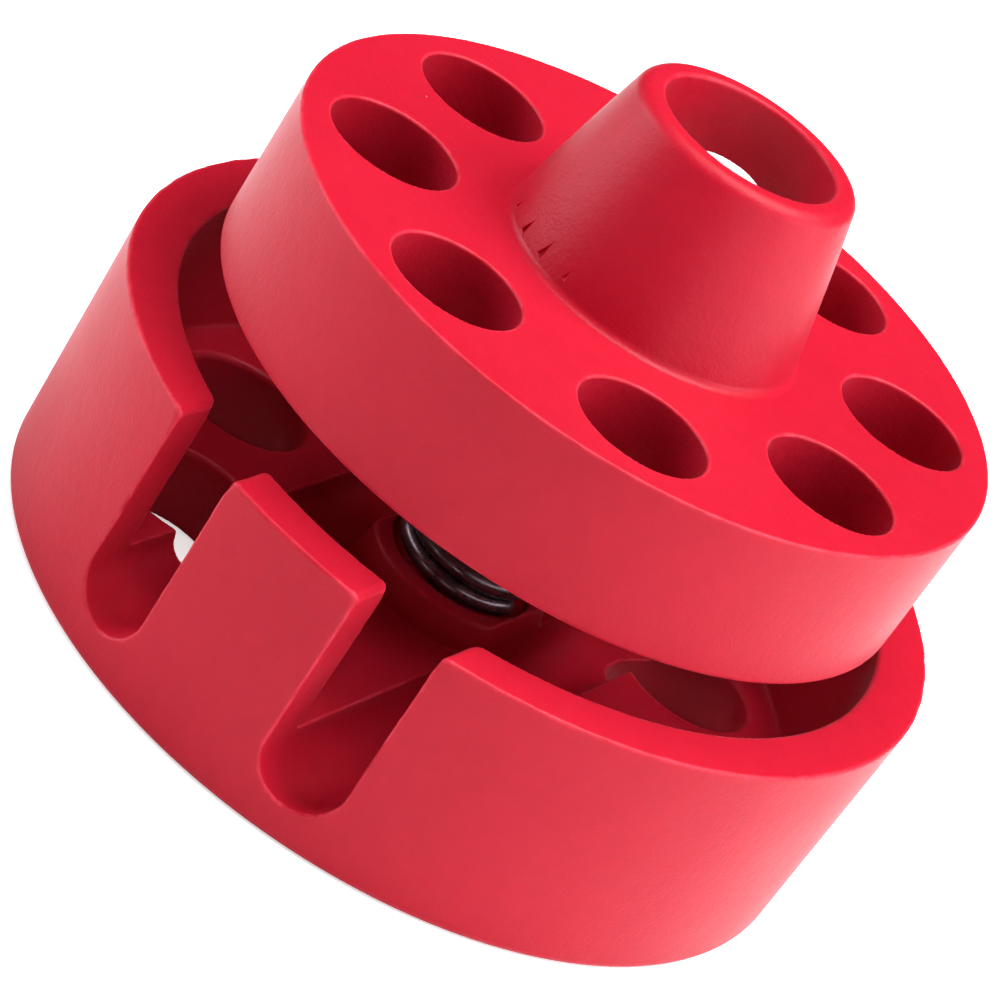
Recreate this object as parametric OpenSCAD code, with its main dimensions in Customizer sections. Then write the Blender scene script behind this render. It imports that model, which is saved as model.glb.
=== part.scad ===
// Tip-up turning hub: a spring-loaded disc with a tapered collar turns on a
// central screw above an open cup. The cup has two straight U channels for a
// pair of rods and holes in its floor; the disc has a full ring of holes.
// Z is up, the origin is the centre of the cup's flat base, channels run along Y.

/* [Cup] */
// Radius of the cup's outside at the rim
cup_top_r = 47.1; // [46:0.1:49]
// Radius of the cup's outside at the base
cup_base_r = 46.3; // [45.5:0.1:46.5]
// Thickness of the cup's wall at the rim
cup_wall_t = 5.8; // [5:0.1:5.9]
// Height of the cup's rim above its base
rim_h = 27.6; // [26:0.1:30]
// Thickness of the cup's floor
floor_t = 8.6; // [8:0.1:9]
// Edge rounding at the cup's base
base_edge = 0.9; // [0.4:0.1:1.5]

/* [Rod channels] */
// Width of each U channel
channel_w = 9; // [7:0.1:9]
// Distance between the two channel centre lines
channel_gap = 26; // [26:0.1:28]
// Rounding of the channel mouths at the rim
channel_mouth_r = 1.2; // [0.6:0.1:1.5]

/* [Floor holes] */
// Number of places on the ring of floor holes; the two between the channels stay solid
floor_hole_count = 8; // [8]
// Radius of each floor hole
floor_hole_r = 7.6; // [6:0.1:7.8]
// Radius of the ring the floor holes sit on
floor_ring_r = 30.2; // [29.5:0.1:31]
// Rounding of the floor holes' upper edge
floor_hole_edge = 0.8; // [0.3:0.1:1]

/* [Boss] */
// Radius of the boss at the floor
boss_base_r = 11.5; // [11:0.1:12.5]
// Radius of the boss at its top
boss_top_r = 10.2; // [9.5:0.1:10.5]
// Height of the boss above the floor
boss_rise = 3.6; // [3:0.1:4]

/* [Disc] */
// Radius of the disc at its top face
disc_top_r = 40; // [39:0.1:40.2]
// Radius of the disc at its underside
disc_low_r = 39.8; // [38.8:0.1:40]
// Thickness of the disc
disc_t = 17.2; // [16:0.1:18]
// Height of the disc's underside above the cup's base
disc_z = 33; // [31:0.1:34]
// Number of holes through the disc
disc_hole_count = 8; // [8]
// Radius of each disc hole
disc_hole_r = 7.16; // [6.5:0.01:7.4]
// Radius of the ring the disc holes sit on
disc_ring_r = 29.6; // [29:0.1:30]
// Angle the disc is turned to at rest
disc_turn = 31.25; // [0:0.25:45]

/* [Collar] */
// Height of the collar above the disc
collar_h = 18.96; // [17:0.01:20]
// Outside radius of the collar at the disc
collar_base_r = 16.64; // [16:0.01:17.5]
// Outside radius of the collar just below its rounded rim
collar_top_r = 12.6; // [12.3:0.05:13]
// Rounding of the collar's rim
collar_edge = 1.2; // [0.8:0.05:1.4]
// Radius of the socket inside the collar
socket_r = 9.8; // [9.4:0.1:9.9]
// Number of small wedge marks round the collar's foot
mark_count = 4; // [4]

/* [Screw and spring] */
// Radius of the screw's shank
screw_r = 5; // [5]
// Height of the screw's end above the cup's base
screw_end = 64.24; // [63:0.01:66]
// Running clearance between the shank and the disc's bore, on the radius
run_gap = 0.05; // [0.03:0.01:0.08]
// Radius to the outside of the spring
spring_r = 8; // [7.7:0.01:8.05]
// Diameter of the spring wire
wire_d = 2.1; // [1.8:0.1:2.2]
// Number of turns in the spring
spring_turns = 6; // [5.5:0.25:6.5]
// Angle about the axis at which the spring wire's lower end lies
wire_end_dir = 352; // [0:1:360]

/* [Hidden] */
$fn = 96;

over = 1;            // how far cutters run past the faces they open
small_edge = 0.4;    // rounding of the cup's rim, the boss's top and the disc's edges
loose_gap = 0.1;     // clearance round the screw in the cup and the stop washer
stack_gap = 0.05;    // gap left between the disc and each washer

// Cup
cup_in_r = cup_top_r - cup_wall_t;      // inside of the wall at the rim
cup_in_low_r = cup_in_r - 0.25;         // inside of the wall at the floor
floor_fillet = 1;                       // rounding where the wall meets the floor
boss_h = floor_t + boss_rise;           // top of the boss
seat_r = spring_r + 0.12;               // radius of the spring's recess in the boss
seat_drop = 0.6;                        // depth of that recess
channel_r = channel_w / 2;
channel_len = 120;                      // length of the channel cutter
channel_cut_h = 60;                     // height of its straight sides

// Disc and collar
disc_top = disc_z + disc_t;             // top face of the disc
disc_seat_r = spring_r + 0.64;          // radius of the recess under the disc
disc_seat_h = 3.5;                      // depth of that recess
disc_hole_edge = 0.3;                   // rounding of the disc holes' upper edge
collar_top = disc_top + collar_h;
collar_side_h = collar_h - collar_edge; // height of the collar below its rounded rim
collar_foot_r = 0.8;                    // fillet where the collar meets the disc
collar_steps = 14;                      // steps up the collar's side
socket_edge = 0.5;                      // rounding of the socket's mouth
ledge_z = disc_top - 2;                 // floor of the collar's socket

// Wedge marks: each is one step further round and a little higher
mark_start = 218.3;
mark_step = 14.4;
mark_h = 1.3;                           // height of the first mark above the disc
mark_rise = 0.2;
mark_depth = 0.35;
mark_turn = 100;                        // turn of the wedge in its own plane
mark_outline = [[-0.65, -0.5], [0.95, 0], [-0.35, 0.5]];

// Screw
head_r = 9.5;                           // radius of the countersunk head
head_z = 0.25;                          // height of the head's face above the cup's base
head_lip = 0.07;                        // bevel round the head's face
screw_bevel = 0.55;                     // bevel at the screw's end
slot_w = 2.5;
slot_depth = 2.6;

// Washers and nuts
washer_bevel = 0.25;
thrust_t = 1.5;
thrust_z = disc_z + disc_seat_h - stack_gap - thrust_t;
stop_r = 9.2;
stop_t = 1.6;
stop_z = ledge_z + stack_gap;
nut_af = 16;                            // across flats
nut_h = 5;
nut_gap = 0.02;                         // clearance between nut and shank, on the radius
nut_bevel = 0.75;                       // height of the turned-off corners
nut_sink = 0.6;                         // depth of the countersinks in the nut's hole
nut_z = stop_z + stop_t;

// Spring: closed turns at each end, open turns between
spring_z0 = boss_h - seat_drop;         // underside of the spring
closed_turns = 1.25;                    // at each end
closed_pitch = wire_d + 0.02;
turn_steps = 24;                        // wire sections in one turn
wire_sides = 8;
spring_rise = thrust_z - spring_z0 - wire_d;    // between the wire's end centres
open_pitch = (spring_rise - 2 * closed_turns * closed_pitch) / (spring_turns - 2 * closed_turns);

// Colours
cup_red = [0.80, 0.05, 0.09];
disc_red = [0.86, 0.06, 0.12];
spring_black = [0.10, 0.10, 0.11];
bright_metal = [0.93, 0.93, 0.90];
washer_grey = [0.62, 0.63, 0.65];

// points of an arc in the r-z plane
function arc(centre_r, centre_z, radius, from, to, steps = 6) =
    [for (i = [0:steps])
        let(angle = from + (to - from) * i / steps)
        [centre_r + radius * cos(angle), centre_z + radius * sin(angle)]];

// rounded upper corner of a profile, on its side away from the axis
function outer_corner(r, z, edge, steps = 4) = arc(r - edge, z - edge, edge, 0, 90, steps);

// rounded upper corner of a profile, on its side facing the axis
function inner_corner(r, z, edge) = arc(r + edge, z - edge, edge, 90, 180, 4);

// outside radius of the collar at height h above the disc: a cone that bows out slightly
function collar_r(h) =
    collar_base_r - (collar_base_r - collar_top_r) * pow(h / collar_side_h, 1.1);

// height of the wire's centre above its start, after some turns
function wire_rise(turns) =
    turns < closed_turns ? turns * closed_pitch
    : turns > spring_turns - closed_turns ? spring_rise - (spring_turns - turns) * closed_pitch
    : closed_turns * closed_pitch + (turns - closed_turns) * open_pitch;

// cutter for one round hole from z0 up to z1, with a rounded upper edge
module rimmed_hole(r, z0, z1, edge) {
    translate([0, 0, z0 - over]) cylinder(r = r, h = z1 - z0 + 2 * over);
    rotate_extrude()
        polygon(concat([[0, z1 - edge]],
                       arc(r + edge, z1 - edge, edge, 180, 90, 5),
                       [[r + edge, z1 + over], [0, z1 + over]]));
}

// cutter for one U channel running right across the cup along Y
module channel_cut(x) {
    translate([x, 0, 0]) {
        translate([0, channel_len / 2, floor_t])
            rotate([90, 0, 0]) cylinder(r = channel_r, h = channel_len);
        translate([-channel_r, -channel_len / 2, floor_t])
            cube([channel_w, channel_len, channel_cut_h]);
        // eased corners where the channel meets the rim
        for (side = [-1, 1])
            difference() {
                translate([side * (channel_r + channel_mouth_r / 2), 0,
                           rim_h + (over - channel_mouth_r) / 2])
                    cube([channel_mouth_r, channel_len, channel_mouth_r + over], center = true);
                translate([side * (channel_r + channel_mouth_r), channel_len / 2 + over,
                           rim_h - channel_mouth_r])
                    rotate([90, 0, 0])
                        cylinder(r = channel_mouth_r, h = channel_len + 2 * over);
            }
    }
}

module lower_cup() {
    bore_r = screw_r + loose_gap;
    color(cup_red)
    difference() {
        rotate_extrude()
            polygon(concat(
                [[head_r + head_z + loose_gap, 0]],
                arc(cup_base_r - base_edge, base_edge, base_edge, 270, 360),
                outer_corner(cup_top_r, rim_h, small_edge),
                inner_corner(cup_in_r, rim_h, small_edge),
                arc(cup_in_low_r - floor_fillet, floor_t + floor_fillet, floor_fillet, 0, -90),
                [[boss_base_r, floor_t]],
                outer_corner(boss_top_r, boss_h, small_edge),
                [[seat_r, boss_h], [seat_r, spring_z0], [bore_r, spring_z0],
                 [bore_r, head_r + head_z - screw_r]]));
        // the two places on the Y axis are left out
        for (i = [0:floor_hole_count - 1])
            if (i % (floor_hole_count / 2) != floor_hole_count / 4)
                rotate([0, 0, i * 360 / floor_hole_count]) translate([floor_ring_r, 0, 0])
                    rimmed_hole(floor_hole_r, 0, floor_t, floor_hole_edge);
        for (side = [-1, 1]) channel_cut(side * channel_gap / 2);
    }
}

// cutter for one wedge-shaped mark in the collar, h above the disc
module wedge_mark(angle, h) {
    rotate([0, 0, angle]) translate([collar_r(h) - mark_depth, 0, disc_top + h])
        rotate([0, 90, 0]) rotate([0, 0, mark_turn])
            linear_extrude(height = 1) polygon(mark_outline);
}

module upper_disc() {
    bore_r = screw_r + run_gap;
    seat_z = disc_z + disc_seat_h;
    color(disc_red)
    difference() {
        rotate_extrude()
            polygon(concat(
                [[bore_r, seat_z], [disc_seat_r, seat_z], [disc_seat_r, disc_z]],
                arc(disc_low_r - small_edge, disc_z + small_edge, small_edge, 270, 360, 4),
                outer_corner(disc_top_r, disc_top, small_edge),
                arc(collar_r(collar_foot_r) + collar_foot_r, disc_top + collar_foot_r,
                    collar_foot_r, 270, 188, 5),
                [for (i = [1:collar_steps - 1])
                    let(h = collar_foot_r + (collar_side_h - collar_foot_r) * i / collar_steps)
                    [collar_r(h), disc_top + h]],
                outer_corner(collar_top_r, collar_top, collar_edge, 6),
                inner_corner(socket_r, collar_top, socket_edge),
                [[socket_r, ledge_z], [bore_r, ledge_z]]));
        for (i = [0:disc_hole_count - 1])
            rotate([0, 0, disc_turn + i * 360 / disc_hole_count])
                translate([disc_ring_r, 0, 0])
                    rimmed_hole(disc_hole_r, disc_z, disc_top, disc_hole_edge);
        for (i = [0:mark_count - 1])
            wedge_mark(mark_start + mark_step * i, mark_h + mark_rise * i);
    }
}

// a polygonal wire swept up a helix, one ring of points per section
module centre_spring() {
    wire_r = wire_d / 2;
    sections = spring_turns * turn_steps;
    last = wire_sides - 1;
    points = [
        for (i = [0:sections])
            let(turns = i / turn_steps,
                angle = wire_end_dir - turns * 360,
                centre_z = spring_z0 + wire_r + wire_rise(turns))
            for (j = [0:last])
                let(around = (j + 0.5) * 360 / wire_sides,
                    r = spring_r - wire_r + wire_r * cos(around))
                [r * cos(angle), r * sin(angle), centre_z + wire_r * sin(around)]];
    sides = [
        for (i = [0:sections - 1])
            for (j = [0:last])
                let(k = (j + 1) % wire_sides,
                    low = i * wire_sides,
                    high = low + wire_sides)
                each [[low + j, high + k, low + k], [low + j, high + j, high + k]]];
    start_cap = [for (j = [0:last]) j];
    end_cap = [for (j = [last:-1:0]) sections * wire_sides + j];
    color(spring_black)
        polyhedron(points = points, faces = concat([start_cap], sides, [end_cap]));
}

module centre_screw() {
    color(bright_metal)
    difference() {
        rotate_extrude()
            polygon([[0, head_z], [head_r - head_lip, head_z], [head_r, head_z + head_lip],
                     [screw_r, head_z + head_lip + head_r - screw_r],
                     [screw_r, screw_end - screw_bevel],
                     [screw_r - screw_bevel, screw_end], [0, screw_end]]);
        // driver slot across the head
        translate([-20, -slot_w / 2, head_z - 2]) cube([40, slot_w, slot_depth + 2]);
    }
}

// a washer standing on z, its outer edges bevelled
module washer(outer_r, inner_r, z, t) {
    bevel_r = outer_r - washer_bevel;
    top = z + t;
    rotate_extrude()
        polygon([[inner_r, z], [bevel_r, z], [outer_r, z + washer_bevel],
                 [outer_r, top - washer_bevel], [bevel_r, top], [inner_r, top]]);
}

module thrust_washer() {
    color(washer_grey) washer(spring_r + 0.35, screw_r + 0.2, thrust_z, thrust_t);
}

module stop_washer() {
    color(washer_grey) washer(stop_r, screw_r + loose_gap, stop_z, stop_t);
}

// a hexagonal prism standing on z, its corners turned off top and bottom
module nut_blank(z, turn) {
    corner_r = nut_af / sqrt(3);
    face_r = nut_af / 2 - 0.1;
    top = z + nut_h;
    intersection() {
        translate([0, 0, z]) rotate([0, 0, turn]) cylinder(r = corner_r, h = nut_h, $fn = 6);
        rotate_extrude()
            polygon([[0, z], [face_r, z], [corner_r + 0.1, z + nut_bevel],
                     [corner_r + 0.1, top - nut_bevel], [face_r, top], [0, top]]);
    }
}

// a thin hexagonal nut standing on z, with countersunk ends to its hole
module thin_nut(z, turn) {
    color(bright_metal)
    difference() {
        nut_blank(z, turn);
        translate([0, 0, z - over]) cylinder(r = screw_r + nut_gap, h = nut_h + 2 * over);
        // 45 degree cones; out is the way each end faces
        for (out = [-1, 1])
            let(end_z = out < 0 ? z : z + nut_h,
                tip_z = end_z - out * (nut_sink + 0.1))
            rotate_extrude()
                polygon([[0, end_z + out * over], [screw_r + nut_sink + over, end_z + out * over],
                         [screw_r - 0.1, tip_z], [0, tip_z]]);
    }
}

module hub_nut() { thin_nut(nut_z, turn = 8); }

module jam_nut() { thin_nut(nut_z + nut_h, turn = 27); }

lower_cup();
upper_disc();
centre_spring();
centre_screw();
thrust_washer();
stop_washer();
hub_nut();
jam_nut();
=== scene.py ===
"""Turning hub of a tip-up: visual model.

The hub stands upright on z = 0 with its axis on z: the cup at the bottom, open upwards, the
disc with its collar above it, a spring between them, and a slotted screw up the middle with
its head in the foot of the cup and two nuts. Shapes are in millimetres; materials, lights and
camera are in metres. A shape is a distance field: negative inside, zero on the surface.
"""
import bmesh
import bpy
import math
import numpy as np
from mathutils import Matrix, Vector


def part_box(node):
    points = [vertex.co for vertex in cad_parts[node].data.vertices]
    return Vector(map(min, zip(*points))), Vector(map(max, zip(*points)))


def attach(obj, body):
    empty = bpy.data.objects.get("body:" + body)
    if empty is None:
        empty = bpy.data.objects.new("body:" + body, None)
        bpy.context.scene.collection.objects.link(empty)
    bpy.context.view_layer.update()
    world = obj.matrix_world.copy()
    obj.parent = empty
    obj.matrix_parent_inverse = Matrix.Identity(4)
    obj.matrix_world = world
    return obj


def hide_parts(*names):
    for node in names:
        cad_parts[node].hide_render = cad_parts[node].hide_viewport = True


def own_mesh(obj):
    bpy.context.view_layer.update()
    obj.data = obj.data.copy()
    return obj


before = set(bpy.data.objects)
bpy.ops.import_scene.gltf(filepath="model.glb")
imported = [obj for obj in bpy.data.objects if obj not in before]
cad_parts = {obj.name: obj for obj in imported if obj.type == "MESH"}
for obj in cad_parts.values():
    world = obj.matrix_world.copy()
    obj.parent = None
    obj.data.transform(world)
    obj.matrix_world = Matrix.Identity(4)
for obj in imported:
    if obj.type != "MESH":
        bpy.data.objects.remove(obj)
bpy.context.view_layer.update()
SLANT = 0.7071  # turns an excess over a 45 degree cone into a distance


# ---------------------------------------------------------------- distance fields
def isect(a, b, rounding):
    """Common part of two fields, its convex edge rounded."""
    outside = np.hypot(np.maximum(a + rounding, 0), np.maximum(b + rounding, 0))
    return np.minimum(-rounding, np.maximum(a, b)) + outside


def cut(a, b, rounding):
    return isect(a, -b, rounding)


def join(a, b, rounding):
    return -isect(-a, -b, rounding)


def step(start, end, value):
    """Smooth rise from 0 at start to 1 at end."""
    t = np.clip((value - start) / (end - start), 0, 1)
    return t * t * (3 - 2 * t)


def wobble(x, y, z, k):
    """Irregular variation between about -1.5 and 1.5, the same on every run, finer for larger k."""
    return (np.sin(k * (0.71 * x + 0.33 * y + 0.9 * z) + 1.3)
            * np.sin(k * (0.52 * y - 0.41 * x + 0.7 * z) + 0.4)
            + 0.5 * np.sin(k * (1.9 * x - 1.3 * y + 1.1 * z) + 2.2)
            * np.sin(k * (1.7 * y + 1.1 * x) + 5.0))


def ring_of(x, y, count, ring_radius, turn):
    """Distance from the nearest of several axes standing on a ring."""
    angle = np.arctan2(y, x) - turn
    sector = 2 * np.pi / count
    angle = angle - sector * np.round(angle / sector)
    r = np.hypot(x, y)
    return np.hypot(r * np.cos(angle) - ring_radius, r * np.sin(angle))


# ---------------------------------------------------------------- from field to mesh
# corners of a grid cell, and its edges as pairs of corners
CORNERS = np.array([(0, 0, 0), (1, 0, 0), (0, 1, 0), (1, 1, 0),
                    (0, 0, 1), (1, 0, 1), (0, 1, 1), (1, 1, 1)])
EDGES = [(0, 1), (2, 3), (4, 5), (6, 7), (0, 2), (1, 3),
         (4, 6), (5, 7), (0, 4), (1, 5), (2, 6), (3, 7)]
SLAB = 24  # grid layers worked out at a time, to save memory


def net(sdf, low, high, size):
    """Quad mesh of the surface sdf = 0: one point in each grid cell that the surface crosses."""
    low, high = np.array(low, float), np.array(high, float)
    count = np.ceil((high - low) / size).astype(int) + 1
    x, y, z = [(low[i] + size * np.arange(count[i])).astype(np.float32) for i in range(3)]
    values = np.empty(tuple(count), np.float32)
    for a in range(0, count[0], SLAB):
        b = min(a + SLAB, count[0])
        values[a:b] = sdf(x[a:b, None, None], y[None, :, None], z[None, None, :])
    solid = values < 0
    cells = count - 1
    corners_in = np.zeros(tuple(cells), np.uint8)
    for o in CORNERS:
        corners_in += solid[o[0]:cells[0] + o[0], o[1]:cells[1] + o[1], o[2]:cells[2] + o[2]]
    crossed = (corners_in > 0) & (corners_in < 8)
    number = np.full(tuple(cells), -1, np.int32)
    where = np.argwhere(crossed)
    number[crossed] = np.arange(len(where))

    # each point is the mean of the places where the surface crosses its cell's edges
    at_corner = np.stack([values[tuple((where + o).T)] for o in CORNERS], 1).astype(float)
    total, hits = np.zeros((len(where), 3)), np.zeros(len(where))
    for a, b in EDGES:
        value_a, value_b = at_corner[:, a], at_corner[:, b]
        k = (value_a < 0) != (value_b < 0)
        t = value_a[k] / (value_a[k] - value_b[k])
        total[k] += CORNERS[a] + t[:, None] * (CORNERS[b] - CORNERS[a])
        hits[k] += 1
    points = low + size * (where + total / hits[:, None])

    # a quad joins the four cells round each grid edge that the surface crosses
    quads = []
    for axis in range(3):
        u, v = (axis + 1) % 3, (axis + 2) % 3
        start = [slice(1, cells[i]) for i in range(3)]
        start[axis] = slice(0, cells[axis])
        end = list(start)
        end[axis] = slice(1, cells[axis] + 1)
        solid_a, solid_b = solid[tuple(start)], solid[tuple(end)]
        for crossing, flip in ((solid_a & ~solid_b, False), (~solid_a & solid_b, True)):
            edge = np.argwhere(crossing)
            edge[:, [u, v]] += 1
            around = []
            for du, dv in ((-1, -1), (0, -1), (0, 0), (-1, 0)):
                cell = edge.copy()
                cell[:, u] += du
                cell[:, v] += dv
                around.append(number[tuple(cell.T)])
            quad = np.stack(around, 1)
            quads.append(quad[:, ::-1] if flip else quad)
    return points, np.vstack(quads)


def field(sdf, points):
    return sdf(points[:, 0], points[:, 1], points[:, 2])


def slope(sdf, points, reach=0.01):
    gradient = np.empty_like(points)
    for i in range(3):
        moved = points.copy()
        moved[:, i] += reach
        ahead = field(sdf, moved)
        moved[:, i] -= 2 * reach
        gradient[:, i] = (ahead - field(sdf, moved)) / (2 * reach)
    return gradient


def settle(sdf, points, most):
    """Moves points onto the surface in two steps, each limited to most."""
    for _ in range(2):
        gradient = slope(sdf, points)
        move = field(sdf, points) / np.maximum((gradient * gradient).sum(1), 0.05)
        points = points - np.clip(move, -most, most)[:, None] * gradient
    return points


def set_points(mesh, points):
    mesh.vertices.foreach_set("co", (points * 0.001).astype(np.float32).ravel())


def smooth(mesh):
    mesh.polygons.foreach_set("use_smooth", np.ones(len(mesh.polygons), bool))


def make_mesh(name, points, faces):
    mesh = bpy.data.meshes.new(name)
    mesh.vertices.add(len(points))
    set_points(mesh, points)
    sides = faces.shape[1]
    mesh.loops.add(faces.size)
    mesh.loops.foreach_set("vertex_index", faces.astype(np.int32).ravel())
    mesh.polygons.add(len(faces))
    mesh.polygons.foreach_set("loop_start", np.arange(0, faces.size, sides, dtype=np.int32))
    mesh.polygons.foreach_set("loop_total", np.full(len(faces), sides, np.int32))
    mesh.update(calc_edges=True)
    mesh.validate()
    return mesh


def place(name, data):
    """New object in the scene."""
    ob = bpy.data.objects.new(name, data)
    bpy.context.scene.collection.objects.link(ob)
    return ob


def refine(mesh, near):
    """Splits the faces near a small feature twice, so that they can follow its shape."""
    for _ in range(2):
        bm = bmesh.new()
        bm.from_mesh(mesh)
        hit = near(np.array([v.co[:] for v in bm.verts]) * 1000)
        edges = [e for e in bm.edges if hit[e.verts[0].index] or hit[e.verts[1].index]]
        bmesh.ops.subdivide_edges(bm, edges=edges, cuts=1, use_grid_fill=True)
        bmesh.ops.triangulate(bm, faces=[f for f in bm.faces if len(f.verts) > 3])
        bm.to_mesh(mesh)
        bm.free()


def thin(ob, keep):
    """Replaces the mesh of ob by one with only a share of its faces."""
    full = ob.data
    name = full.name
    modifier = ob.modifiers.new("thin", "DECIMATE")
    modifier.ratio = keep
    modifier.use_collapse_triangulate = True
    depsgraph = bpy.context.evaluated_depsgraph_get()
    ob_thinned = ob.evaluated_get(depsgraph)
    mesh = bpy.data.meshes.new_from_object(ob_thinned)
    ob.modifiers.clear()
    ob.data = mesh
    bpy.data.meshes.remove(full)
    mesh.name = name


def carve(name, sdf, half_width, bottom, top, cell, keep, reach=0.4, near=None):
    """A closed mesh of the surface sdf = 0: netted, thinned where it is flat, moved back onto
    the surface and shaded by the surface's own slope. Its point attribute "edge" tells edges (+)
    from inside corners (-), felt at a distance of reach."""
    low = (-half_width, -half_width, bottom)
    points, quads = net(sdf, low, (half_width, half_width, top), cell)
    ob = place(name, make_mesh(name, settle(sdf, points, 0.3 * cell), quads))
    if keep < 1:
        thin(ob, keep)
    mesh = ob.data
    if near:
        refine(mesh, near)
    found = np.empty(len(mesh.vertices) * 3, np.float32)
    mesh.vertices.foreach_get("co", found)
    points = settle(sdf, found.reshape(-1, 3).astype(float) * 1000, 0.1 * cell)
    set_points(mesh, points)

    gradient = slope(sdf, points)
    normal = gradient / np.maximum(np.linalg.norm(gradient, axis=1), 1e-9)[:, None]
    steep = np.abs(normal[:, 2:3]) < 0.8
    side_a = np.cross(normal, np.where(steep, [[0, 0, 1.0]], [[1.0, 0, 0]]))
    side_a /= np.linalg.norm(side_a, axis=1)[:, None]
    side_b = np.cross(normal, side_a)
    ways = (side_a, side_b, (side_a + side_b) / 1.4142, (side_a - side_b) / 1.4142)
    bend = sum(field(sdf, points + s * reach * way) for way in ways for s in (-1, 1))
    smooth(mesh)
    edge = mesh.attributes.new("edge", "FLOAT", "POINT")
    edge.data.foreach_set("value", (bend / (8 * reach)).astype(np.float32))
    mesh.update()
    mesh.normals_split_custom_set_from_vertices(normal.astype(np.float32))
    return ob


def stand_in(piece, rides, node):
    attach(piece, rides)
    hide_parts(node)


# ---------------------------------------------------------------- the cup
CUP_RADIUS, CUP_FLARE = 46.3, 0.8  # at the foot, and its growth up to the rim
CUP_HEIGHT = 27.6
CUP_FLOOR = 8.6
HOLLOW_RADIUS, HOLLOW_FLARE = 41.05, 0.25  # at the floor, and its growth up to the rim
BOSS_RADIUS, BOSS_TAPER = 11.5, 1.3
BOSS_TOP = 12.2
SEAT_RADIUS, SEAT_Z = 8.12, 11.6  # round recess in the boss, where the spring stands
CUP_HOLE_RADIUS = 7.6
CUP_HOLE_X = 30.2          # one hole on either side along x
CUP_HOLE_DIAGONAL = 21.355  # x and y of the four holes on the diagonals
CHANNEL_X, CHANNEL_RADIUS = 13.0, 4.5  # two channels along y, round at the bottom
CUP_BORE = 5.1
COUNTERSINK = 9.85  # radius at z = 0


def cup(x, y, z):
    r = np.hypot(x, y)
    slow = wobble(x, y, z, 0.35)
    fine = wobble(x, y, z, 1.9)
    d = isect(r - (CUP_RADIUS + CUP_FLARE * z / CUP_HEIGHT), z - CUP_HEIGHT,
              0.34 + 0.06 * slow + 0.09 * fine)
    d = isect(d, -z, 0.9)
    up = z - CUP_FLOOR
    boss = isect(r - (BOSS_RADIUS - BOSS_TAPER * up / 3.6), z - BOSS_TOP, 0.45)
    hollow = isect(r - (HOLLOW_RADIUS + HOLLOW_FLARE * up / 19), CUP_FLOOR - z, 1.0)
    hollow = cut(hollow, boss, 0.5)
    d = cut(d, hollow, 0.45)
    d = cut(d, isect(r - SEAT_RADIUS, SEAT_Z - z, 0.15), 0.2)
    ax, ay = np.abs(x), np.abs(y)
    holes = np.minimum(np.hypot(ax - CUP_HOLE_X, ay),
                       np.hypot(ax - CUP_HOLE_DIAGONAL, ay - CUP_HOLE_DIAGONAL))
    d = cut(d, holes - CUP_HOLE_RADIUS, 0.15 + 0.6 * step(3.0, 6.0, z))
    for side in (-1, 1):
        across = np.abs(x - side * CHANNEL_X)
        channel = np.where(z > CUP_FLOOR, across, np.hypot(across, up)) - CHANNEL_RADIUS
        d = cut(d, channel,
                0.28 + 0.05 * slow + 0.08 * fine + 0.75 * step(25.2, CUP_HEIGHT, z))
    return cut(d, np.minimum(r - CUP_BORE, (r + z - COUNTERSINK) * SLANT), 0.15)


# ---------------------------------------------------------------- the disc
DISC_BOTTOM, DISC_TOP = 33, 50.2
DISC_RADIUS, DISC_FLARE = 39.8, 0.2  # at the bottom, and its growth up to the top
DISC_HOLES, DISC_HOLE_RING, DISC_HOLE_RADIUS = 8, 29.6, 7.16
DISC_TURN = math.radians(31.25)
COLLAR_TOP = 69.16
COLLAR_RADIUS, COLLAR_TAPER = 16.64, 4.04  # at the disc's top, and its loss over 17.76 mm
WELL_RADIUS, WELL_FLOOR = 9.8, 48.2        # recess down the collar
POCKET_RADIUS, POCKET_ROOF = 8.64, 36.5    # recess from below, round the spring's end
DISC_BORE = 5.05
# wedge-shaped dents in the collar: azimuth in degrees, height above the disc's top, size
MARKS = [(218.3, 1.4, 0.52), (233.2, 1.5, 0.90), (247.3, 1.7, 0.96), (260.9, 1.8, 0.52)]


def collar_radius(height):
    return COLLAR_RADIUS - COLLAR_TAPER * (np.clip(height, 0.0, 19.0) / 17.76) ** 1.1


def mark(x, y, z, azimuth, height, size):
    """A dent that narrows and gets shallower upwards."""
    angle = math.radians(azimuth)
    c, s = math.cos(angle), math.sin(angle)
    across = (-s * x + c * y) / size
    outward = c * x + s * y
    up = (z - DISC_TOP - height) / size
    lean = across - 0.22 * up
    sides = np.maximum(lean * 0.98 + 0.21 * up - 0.26, -lean * 0.98 + 0.21 * up - 0.26)
    outline = np.maximum(sides, -up - 0.6 - 0.25 * lean)
    depth = (0.42 - 0.21 * np.clip(up + 0.6, 0, 2)) * size
    dent = np.maximum(outline * size, (collar_radius(z - DISC_TOP) - depth) - np.hypot(x, y))
    return np.where(outward > 0, dent, 9.0)


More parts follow.
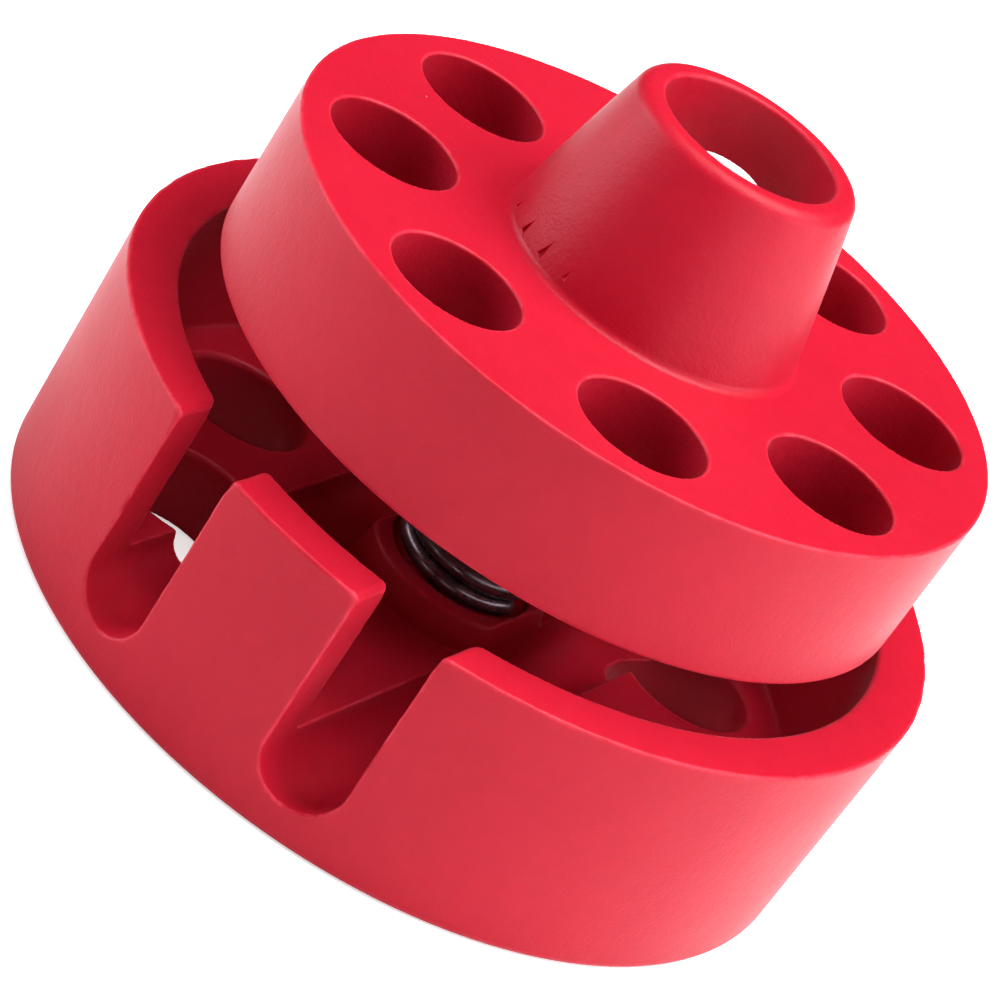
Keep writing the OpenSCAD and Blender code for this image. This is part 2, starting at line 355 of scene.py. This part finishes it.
def disc(x, y, z):
    r = np.hypot(x, y)
    slow = wobble(x, y, z, 0.35)
    d = isect(r - (DISC_RADIUS + DISC_FLARE * (z - DISC_BOTTOM) / 17.2), z - DISC_TOP,
              0.26 + 0.05 * slow)
    d = isect(d, DISC_BOTTOM - z, 0.45)
    collar = isect(r - collar_radius(z - DISC_TOP), z - COLLAR_TOP, 1.2)
    d = join(d, np.maximum(collar, 42 - z), 0.8)
    d = cut(d, ring_of(x, y, DISC_HOLES, DISC_HOLE_RING, DISC_TURN) - DISC_HOLE_RADIUS, 0.3)
    d = cut(d, isect(r - WELL_RADIUS, WELL_FLOOR - z, 0.3), 0.5)
    d = cut(d, isect(r - POCKET_RADIUS, z - POCKET_ROOF, 0.2), 0.35)
    d = cut(d, r - DISC_BORE, 0.15)
    near = (r < 20) & (z > 50.4) & (z < 54.5)
    if np.any(near):
        for entry in MARKS:
            d = np.where(near, cut(d, mark(x, y, z, *entry), 0.13), d)
    return d


def by_marks(points):
    x, y, z = points.T
    azimuth = np.degrees(np.arctan2(y, x)) % 360
    r = np.hypot(x, y)
    return ((r < 17.6) & (r > 14.2) & (z > 50.5) & (z < 54.4)
            & (azimuth > 212) & (azimuth < 267))


# ---------------------------------------------------------------- the screw and its nuts
PITCH = 1.5
THREAD_SCALE = 0.85  # allows for the slope of the thread's flanks
SHANK_RADIUS = 5.0
THREAD_CREST, THREAD_ROOT = 4.97, 4.12
THREAD_START, THREAD_FULL = 15.0, 16.5  # heights between which the thread deepens
SCREW_TOP = 64.24
HEAD_RADIUS, HEAD_CONE = 9.45, 9.8  # the cone's radius is taken at z = 0
HEAD_FACE = 0.25
SLOT_HALF, SLOT_ROOF = 1.25, 2.85

NUT_HEIGHT = 5.0
NUT_HALF_FLATS = 8.0
NUT_CORNER = 9.05
NUT_BEVEL, NUT_BEVEL_SLOPE = 7.9, 1.75  # radius of the bevel at the nut's faces, and its slope
NUT_MOUTH = 6.3  # radius of the countersink at either face
NUTS = [("hub_nut", 8), ("jam_nut", 27)]  # CAD piece, azimuth of a corner in degrees


def thread(x, y, z, crest, root):
    """Radius of a rounded screw thread at a point."""
    angle = np.arctan2(y, x) / (2 * np.pi)
    phase = (z / PITCH - angle) % 1.0
    t = np.clip(np.abs(phase - 0.5) * 2.9 - 0.42, 0, 1)
    return crest + (root - crest) * (1 - t * t * (3 - 2 * t))


def screw(x, y, z):
    r = np.hypot(x, y)
    threaded = thread(x, y, z, THREAD_CREST, THREAD_ROOT)
    radius = SHANK_RADIUS + step(THREAD_START, THREAD_FULL, z) * (threaded - SHANK_RADIUS)
    d = isect((r - radius) * THREAD_SCALE, z - SCREW_TOP, 0.1)
    d = np.maximum(d, (r + z - (SCREW_TOP + 4.45)) * SLANT)
    head = isect((r + z - HEAD_CONE) * SLANT, HEAD_FACE - z, 0.12)
    head = isect(head, r - HEAD_RADIUS, 0.1)
    d = join(np.maximum(d, 1.0 - z), head, 0.2)
    return cut(d, isect(np.abs(y) - SLOT_HALF, z - SLOT_ROOF, 0.25), 0.18)


def nut(bottom, turn):
    def shape(x, y, z):
        r = np.hypot(x, y)
        angle = np.arctan2(y, x) - turn
        angle = angle - (np.pi / 3) * np.round(angle / (np.pi / 3))
        d = r * np.cos(angle) - NUT_HALF_FLATS
        d = isect(d, r - NUT_CORNER, 0.25)
        up = z - bottom
        rise = NUT_BEVEL_SLOPE * up
        d = isect(d, (r + rise - NUT_BEVEL_SLOPE * NUT_HEIGHT - NUT_BEVEL) * 0.5, 0.2)
        d = isect(d, (r - rise - NUT_BEVEL) * 0.5, 0.2)
        d = isect(d, up - NUT_HEIGHT, 0.15)
        d = isect(d, -up, 0.15)
        d = cut(d, (r - thread(x, y, z, 5.16, 5.02)) * THREAD_SCALE, 0.05)
        d = cut(d, (r + up - NUT_MOUTH) * SLANT, 0.1)
        return cut(d, (r - up + NUT_HEIGHT - NUT_MOUTH) * SLANT, 0.1)
    return shape


# ---------------------------------------------------------------- build the carved pieces
cup_piece = carve("lower_cup_moulding", cup, half_width=47.7, bottom=-0.6, top=28.2,
                  cell=0.34, keep=0.35)
stand_in(cup_piece, "base", "lower_cup")

disc_piece = carve("upper_disc_moulding", disc, half_width=40.6, bottom=32.4, top=69.8,
                   cell=0.32, keep=0.36, near=by_marks)
stand_in(disc_piece, "turntable", "upper_disc")

screw_piece = carve("centre_screw_slotted", screw, half_width=9.9, bottom=-0.1, top=64.6,
                    cell=0.2, keep=0.5, reach=0.2)
stand_in(screw_piece, "base", "centre_screw")

nylon_pieces = [screw_piece]
for node, corner in NUTS:
    low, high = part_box(node)
    bottom = low.z * 1000
    # a flat lies 30 degrees on from a corner
    piece = carve(node + "_hex", nut(bottom, math.radians(corner + 30)), half_width=9.6,
                  bottom=bottom - 0.3, top=high.z * 1000 + 0.3, cell=0.17, keep=0.5, reach=0.2)
    stand_in(piece, "base", node)
    nylon_pieces.append(piece)


# ---------------------------------------------------------------- the spring
SPRING_LENGTH = 23.35
SPRING_RADIUS = 8.0
WIRE = 2.1  # diameter
TURNS, CLOSED_TURNS = 6.0, 1.25  # in all, and closed at each end
SPRING_START = math.radians(352)
END_BEVEL = 0.16  # along the wire; the end face has 0.86 of the wire's radius


def coil():
    """Round wire swept clockwise up a helix, with closed end turns and square-cut ends."""
    per_turn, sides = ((96, 20))
    helix_radius = SPRING_RADIUS - WIRE / 2
    span = SPRING_LENGTH - WIRE
    closed_pitch = WIRE + 0.02
    open_pitch = (span - 2 * CLOSED_TURNS * closed_pitch) / (TURNS - 2 * CLOSED_TURNS)
    last = int(TURNS * per_turn)
    turn = np.arange(last + 1) / per_turn
    middle = CLOSED_TURNS * closed_pitch + (turn - CLOSED_TURNS) * open_pitch
    rise = np.where(turn < CLOSED_TURNS, turn * closed_pitch,
                    np.where(turn > TURNS - CLOSED_TURNS,
                             span - (TURNS - turn) * closed_pitch, middle))
    # ease the changes of pitch, but leave the ends as they are
    eased = np.convolve(np.pad(rise, 15, mode="edge"), np.ones(31) / 31, "valid")
    rise = rise + (eased - rise) * np.minimum(1, np.minimum(turn, TURNS - turn) / 0.4)

    angle = SPRING_START - turn * 2 * np.pi
    c, s = np.cos(angle), np.sin(angle)
    centre = np.stack([helix_radius * c, helix_radius * s, SEAT_Z + WIRE / 2 + rise], 1)
    along = np.gradient(centre, axis=0)
    along /= np.linalg.norm(along, axis=1)[:, None]
    outward = np.stack([c, s, 0 * angle], 1)
    outward -= (outward * along).sum(1)[:, None] * along
    outward /= np.linalg.norm(outward, axis=1)[:, None]
    upright = np.cross(along, outward)

    # rings of points: station on the helix, shift along the wire, share of the wire's radius
    rings = [(0, 0.0, 0.0001), (0, 0.0, 0.86), (0, END_BEVEL, 1.0)]
    rings += [(i, 0.0, 1.0) for i in range(2, last - 1)]
    rings += [(last, -END_BEVEL, 1.0), (last, 0.0, 0.86), (last, 0.0, 0.0001)]
    b = (2 * np.pi * np.arange(sides) / sides)[:, None]
    points = np.vstack([
        centre[i] + shift * along[i]
        + (np.cos(b) * outward[i] + np.sin(b) * upright[i]) * (WIRE / 2) * scale
        for i, shift, scale in rings])
    here = np.arange(len(points)).reshape(-1, sides)
    beside = np.roll(here, -1, axis=1)
    quads = np.stack([here[:-1], beside[:-1], beside[1:], here[1:]], -1).reshape(-1, 4)

    mesh = make_mesh("centre_spring_wire", points, quads)
    bm = bmesh.new()
    bm.from_mesh(mesh)
    bmesh.ops.remove_doubles(bm, verts=bm.verts, dist=2e-6)  # closes the ends
    bmesh.ops.recalc_face_normals(bm, faces=bm.faces)
    bm.to_mesh(mesh)
    bm.free()
    smooth(mesh)
    return place("centre_spring_wire", mesh)


spring = coil()
stand_in(spring, "base", "centre_spring")
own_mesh(spring)


# ---------------------------------------------------------------- materials
class Nodes:
    """Adds nodes to a tree. An input is given as a plain value or as the output that feeds it."""

    def __init__(self, tree):
        self.tree = tree

    def feed(self, node, inputs):
        for key, value in inputs.items():
            socket = node.inputs[key]
            if isinstance(value, bpy.types.NodeSocket):
                self.tree.links.new(value, socket)
            elif socket.type == "RGBA":
                socket.default_value = (*value, 1.0)
            else:
                socket.default_value = value

    def add(self, kind, inputs={}, **settings):
        node = self.tree.nodes.new("ShaderNode" + kind)
        for key, value in settings.items():
            setattr(node, key, value)
        self.feed(node, inputs)
        return node

    def noise(self, scale, detail=3.0, rough=0.55):
        return self.add("TexNoise", {"Vector": self.coords, "Scale": scale, "Detail": detail,
                                     "Roughness": rough}).outputs["Fac"]

    def remap(self, value, across=(0.3, 0.7), to=(0, 1)):
        return self.add("MapRange", {
            "Value": value, "From Min": across[0], "From Max": across[1],
            "To Min": to[0], "To Max": to[1]}).outputs["Result"]

    def math(self, operation, a, b):
        return self.add("Math", {0: a, 1: b}, operation=operation).outputs[0]

    def times(self, a, b):
        return self.math("MULTIPLY", a, b)

    def plus(self, a, b):
        return self.math("ADD", a, b)

    def mix(self, share, a, b):
        return self.add("Mix", {0: share, 6: a, 7: b}, data_type="RGBA").outputs[2]

    def edge(self):
        return self.add("Attribute", attribute_name="edge").outputs["Fac"]

    def camera_ray(self, strength):
        """The strength for what the camera sees directly, 0 for all other rays."""
        seen = self.add("LightPath").outputs["Is Camera Ray"]
        return self.remap(seen, across=(0, 1), to=(0, strength))

    def bump(self, height, strength, distance):
        return self.add("Bump", {"Height": height, "Strength": strength,
                                 "Distance": distance}).outputs[0]


def new_material(name):
    material = bpy.data.materials.new(name)
    material.use_nodes = True
    nodes = Nodes(material.node_tree)
    nodes.tree.nodes.clear()
    output = nodes.add("OutputMaterial")
    surface = nodes.add("BsdfPrincipled")
    nodes.feed(output, {0: surface.outputs[0]})
    nodes.coords = nodes.add("TexCoord").outputs["Object"]
    return material, nodes, surface


def red_plastic(name, base, deep, shift):
    """Satin moulding; shift moves the pattern, so that two pieces differ."""
    material, nodes, surface = new_material(name)
    nodes.coords = nodes.add("Mapping", {
        "Vector": nodes.coords, "Location": (shift, shift * 0.37, -shift * 0.61)}).outputs[0]
    cloud = nodes.remap(nodes.noise(scale=28), across=(0.35, 0.65))
    mottle = nodes.remap(nodes.noise(scale=420))
    color = nodes.mix(nodes.times(cloud, 0.5), base, deep)
    color = nodes.mix(nodes.times(mottle, 0.22), color, tuple(c * 1.25 + 0.002 for c in base))
    # paler edges: partly real scuffs and moulding flash, partly a painted highlight where the edge
    # rounding catches the light
    edge_breakup = nodes.remap(nodes.noise(scale=420, detail=4, rough=0.7),
                        across=(0.42, 0.62), to=(0.25, 1))
    wear_and_highlight = nodes.times(nodes.remap(nodes.edge(), across=(0.08, 0.30)), edge_breakup)
    # pale edge colour: real wear plus a painted edge highlight
    color = nodes.mix(nodes.times(wear_and_highlight, 0.46), color, (0.76, 0.075, 0.12))
    # tiny pale specks, in a few of the cells
    specks = nodes.add("TexVoronoi", {"Vector": nodes.coords, "Scale": 150.0, "Randomness": 1.0})
    pick = nodes.add("SeparateColor", {0: specks.outputs["Color"]}).outputs[0]
    rare = nodes.math("GREATER_THAN", pick, 0.86)
    dot = nodes.times(
        nodes.remap(specks.outputs["Distance"], across=(0.010, 0.021), to=(1, 0)), rare)
    color = nodes.mix(nodes.times(dot, 0.5), color, (0.95, 0.45, 0.45))
    rough = nodes.remap(nodes.noise(scale=55, detail=4, rough=0.6), to=(0.34, 0.42))
    # relief: fine grain, coarser peel, slow waves and the specks
    grain = nodes.noise(scale=2600, rough=0.65)
    peel = nodes.noise(scale=900, detail=2, rough=0.5)
    wave = nodes.noise(scale=90, rough=0.5)
    height = nodes.plus(nodes.times(grain, 0.30), nodes.times(peel, 0.25))
    height = nodes.plus(height, nodes.times(wave, 0.9))
    height = nodes.plus(height, nodes.times(dot, 0.6))
    nodes.feed(surface, {
        "Base Color": color,
        "Roughness": nodes.plus(rough, nodes.times(wear_and_highlight, 0.08)),
        "Specular IOR Level": 0.155,
        "Sheen Weight": 0.02,
        "Sheen Roughness": 0.38,
        "Sheen Tint": (1.0, 0.80, 0.84),
        "IOR": 1.5,
        "Subsurface Weight": 0.30,
        "Subsurface Radius": (1.0, 0.06, 0.10),
        "Subsurface Scale": 0.0018,
        "Normal": nodes.bump(height, strength=0.62, distance=0.00024)})
    return material


def nylon(name, base):
    material, nodes, surface = new_material(name)
    cloud = nodes.remap(nodes.noise(scale=160, detail=4))
    color = nodes.mix(nodes.times(cloud, 0.4), base, tuple(c * 0.93 for c in base))
    # the colour turns darker and browner towards inside corners
    corner_darkening = nodes.remap(nodes.edge(), across=(-0.05, -0.35), to=(0, 0.35))  # in inside corners
    nodes.feed(surface, {
        "Base Color": nodes.mix(corner_darkening, color, (0.55, 0.45, 0.40)),
        "Roughness": nodes.remap(nodes.noise(scale=300), to=(0.32, 0.46)),
        "Subsurface Weight": 0.15,
        "Subsurface Radius": (1.0, 0.9, 0.8),
        "Subsurface Scale": 0.0008,
        "Normal": nodes.bump(nodes.noise(scale=1400), strength=0.12, distance=0.0001)})
    return material


def metal(name, colors, cloud, metallic, gloss, roughness, grain, **relief):
    """Clouded metal; cloud, gloss and grain are the settings of its three noises."""
    material, nodes, surface = new_material(name)
    clouds = nodes.remap(nodes.noise(**cloud), across=(0.35, 0.65))
    nodes.feed(surface, {
        "Base Color": nodes.mix(clouds, *colors),
        "Metallic": metallic,
        "Roughness": nodes.remap(nodes.noise(**gloss), to=roughness),
        "Normal": nodes.bump(nodes.noise(**grain), **relief)})
    return material


def dress(ob, material):
    ob.data.materials.clear()
    ob.data.materials.append(material)


dress(cup_piece, red_plastic("red_cup", base=(0.40, 0.0058, 0.0200),
                             deep=(0.345, 0.0046, 0.0160), shift=0.11))
dress(disc_piece, red_plastic("red_disc", base=(0.41, 0.0060, 0.0205),
                              deep=(0.35, 0.0046, 0.0162), shift=0.43))
white = nylon("white_nylon", base=(0.86, 0.86, 0.83))
for piece in nylon_pieces:
    dress(piece, white)
dress(spring, metal(
    "black_spring_wire", colors=((0.11, 0.092, 0.095), (0.24, 0.21, 0.215)),
    cloud=dict(scale=240, detail=4), metallic=0.92,
    gloss=dict(scale=420, detail=4, rough=0.65), roughness=(0.20, 0.40),
    grain=dict(scale=800, rough=0.5), strength=0.18, distance=0.0001))
zinc = metal(
    "zinc_plate", colors=((0.60, 0.61, 0.63), (0.42, 0.43, 0.46)),
    cloud=dict(scale=320, detail=4), metallic=1.0,
    gloss=dict(scale=600), roughness=(0.22, 0.40),
    grain=dict(scale=1600), strength=0.15, distance=0.00008)
for name in ("thrust_washer", "stop_washer"):
    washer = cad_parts[name]
    if washer.material_slots:
        for slot in washer.material_slots:
            slot.material = zinc
    else:
        washer.data.materials.append(zinc)


# ---------------------------------------------------------------- floor, light, camera
FLOOR_HALF, FLOOR_Z, FLOOR_CELLS = 6000, -0.02, 40
MIDDLE = Vector((0, 0, 0.035))  # the lights aim here
LIGHT_DISTANCE, LIGHT_SIZE = 0.8, 0.6
# columns: the camera's right, its up, the way from the scene back to it, and its place
CAMERA = Matrix((
    (0.70829, -0.65026, 0.27475, 0.12750),
    (0.49522, 0.18034, -0.84984, -0.39712),
    (0.50307, 0.73799, 0.44976, 0.23137),
    (0, 0, 0, 1)))
# soft boxes: name, elevation, azimuth from the camera's side (degrees), power (W)
LIGHTS = [
    ("top", 90, 0, 6.55),
    ("up_90", 62, 90, 9.80),
    ("up_270", 62, 270, 0.53),
    ("lo_45", 8, 45, 2.90),
    ("lo_90", 8, 90, 5.00),
    ("lo_270", 8, 270, 7.20),
]


def stage_floor():
    line = np.linspace(-1, 1, FLOOR_CELLS + 1) * FLOOR_HALF
    x, y = np.meshgrid(line, line, indexing="ij")
    points = np.stack([x.ravel(), y.ravel(), np.full(x.size, FLOOR_Z)], 1)
    n = np.arange(x.size).reshape(x.shape)
    quads = np.stack([n[:-1, :-1], n[1:, :-1], n[1:, 1:], n[:-1, 1:]], -1).reshape(-1, 4)
    floor = place("floor", make_mesh("floor", points, quads))
    material, nodes, surface = new_material("pale_floor")
    nodes.feed(surface, {
        "Base Color": nodes.mix(nodes.noise(scale=6, detail=2), (0.90,) * 3, (0.88,) * 3),
        "Emission Color": (1, 1, 1),
        "Emission Strength": nodes.camera_ray(0.55),
        "Roughness": 0.9,
        "Specular IOR Level": 0.1})
    floor.data.materials.append(material)


def soft_box(name, elevation, azimuth, power):
    e = math.radians(elevation)
    a = math.atan2(CAMERA[1][2], CAMERA[0][2]) + math.radians(azimuth)
    way = Vector((math.cos(e) * math.cos(a), math.cos(e) * math.sin(a), math.sin(e)))
    light = bpy.data.lights.new(name, "AREA")
    light.shape = "RECTANGLE"
    light.size = light.size_y = LIGHT_SIZE
    light.energy = power
    light.color = (1, 0.95, 1.06) if elevation < 20 else (1, 1, 1)
    box = place(name, light)
    box.location = MIDDLE + way * LIGHT_DISTANCE
    box.rotation_euler = (MIDDLE - box.location).to_track_quat("-Z", "Y").to_euler()
    box.visible_camera = False


stage_floor()

# the world is a backdrop only: it sheds no light
world = bpy.data.worlds.new("studio")
world.use_nodes = True
sky = Nodes(world.node_tree)
sky.feed(world.node_tree.nodes["Background"],
         {"Color": (1, 1, 1), "Strength": sky.camera_ray(0.95)})
scene = bpy.context.scene
scene.world = world

for entry in LIGHTS:
    soft_box(*entry)

lens = bpy.data.cameras.new("camera")
lens.sensor_width = 36.0
lens.lens = 163.717
lens.clip_start = 0.01
lens.clip_end = 100
camera = place("camera", lens)
camera.matrix_world = CAMERA
scene.camera = camera
scene.view_settings.view_transform = "Standard"
